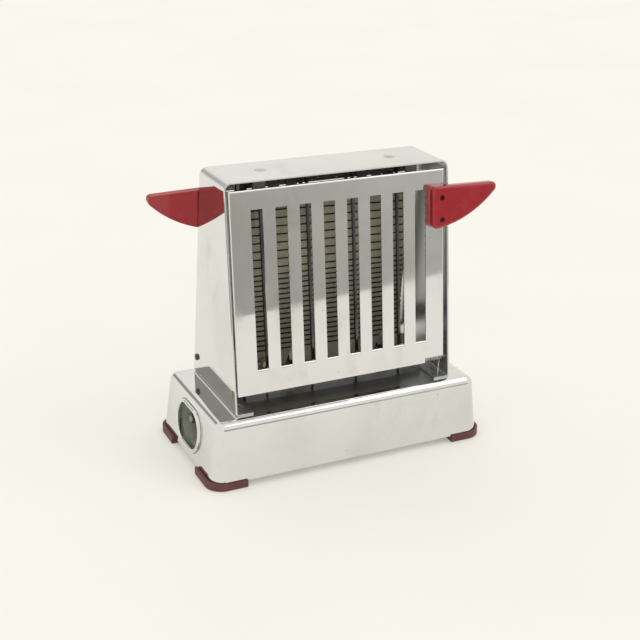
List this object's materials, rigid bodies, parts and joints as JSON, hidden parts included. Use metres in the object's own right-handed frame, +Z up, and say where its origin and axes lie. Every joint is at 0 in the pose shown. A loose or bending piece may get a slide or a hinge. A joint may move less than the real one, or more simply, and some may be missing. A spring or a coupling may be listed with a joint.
{
  "type": "drop side toaster",
  "caption": "Electric toaster with a flat mica heating card between two slotted drop-down doors, each with a red handle, on a drawn metal base with corner feet and a pin inlet.",
  "frame": {"origin": "middle of the surface the feet stand on", "axes": "+X along the base away from the appliance inlet, -Y out of the front door, +Z up"},
  "size_m": [0.2138, 0.099, 0.1841],
  "materials": {
    "plated_sheet": "polished nickel or chromium plate",
    "plain_steel": "bright sheet, dulled by heat",
    "foot_moulding": "matt moulded",
    "handle_moulding": "glossy moulded",
    "screw_steel": "turned",
    "dark_screw": "dark oxidised",
    "rivet_steel": "formed",
    "rod_steel": "yellowed by age",
    "spring_wire": "drawn wire",
    "mica": "semi-gloss pressed mica",
    "resistance_ribbon": "oxidised",
    "inlet_ceramic": "dark, unglazed",
    "bush_ceramic": "unglazed",
    "pin_metal": "nickel plated",
    "terminal_brass": "turned",
    "lead_sleeve": "woven heat-proof sleeve"
  },
  "bodies": {
    "toaster": {"base_shell": "plated_sheet", "bottom_plate": "plain_steel", "foot_rear_right": "foot_moulding", "foot_front_right": "foot_moulding", "foot_rear_left": "foot_moulding", "foot_front_left": "foot_moulding", "foot_screws": "screw_steel", "housing_shell": "plated_sheet", "tab_rivets": "rivet_steel", "top_rivets": "plated_sheet", "hinge_rod_front": "rod_steel", "hinge_rod_rear": "rod_steel", "closing_spring_front": "spring_wire", "closing_spring_rear": "spring_wire", "mica_card": "mica", "heating_ribbon": "resistance_ribbon", "top_bracket": "plain_steel", "bottom_bracket": "plain_steel", "bottom_rivets": "rivet_steel", "guard_front": "plain_steel", "guard_rear": "plain_steel", "guard_rivets": "rivet_steel", "inlet_collar": "plated_sheet", "inlet_cup": "inlet_ceramic", "inlet_pins": "pin_metal", "pin_nuts": "terminal_brass", "inlet_clips": "plain_steel", "lead_bushes": "bush_ceramic", "lead_low": "lead_sleeve", "lead_high": "lead_sleeve", "terminal_screws": "terminal_brass", "terminal_nuts": "terminal_brass"},
    "front_door": {"door_front": "plated_sheet", "turning_fingers_front": "plain_steel", "handle_front": "handle_moulding", "handle_screws_front": "dark_screw", "handle_nuts_front": "screw_steel"},
    "rear_door": {"door_rear": "plated_sheet", "turning_fingers_rear": "plain_steel", "handle_rear": "handle_moulding", "handle_screws_rear": "dark_screw", "handle_nuts_rear": "screw_steel"}
  },
  "joints": [
    {"name": "front_door_hinge", "type": "hinge", "parent": "toaster", "child": "front_door", "pos_m": [0, -0.0304, 0.05469], "axis": [1, 0, 0], "range_deg": [0, 105], "stiffness_Nm_per_rad": 0.03, "springref_deg": -57.3, "deforming": ["closing_spring_front"]},
    {"name": "rear_door_hinge", "type": "hinge", "parent": "toaster", "child": "rear_door", "pos_m": [0, 0.0304, 0.05469], "axis": [-1, 0, 0], "range_deg": [0, 105], "stiffness_Nm_per_rad": 0.03, "springref_deg": -57.3, "deforming": ["closing_spring_rear"]}
  ]
}
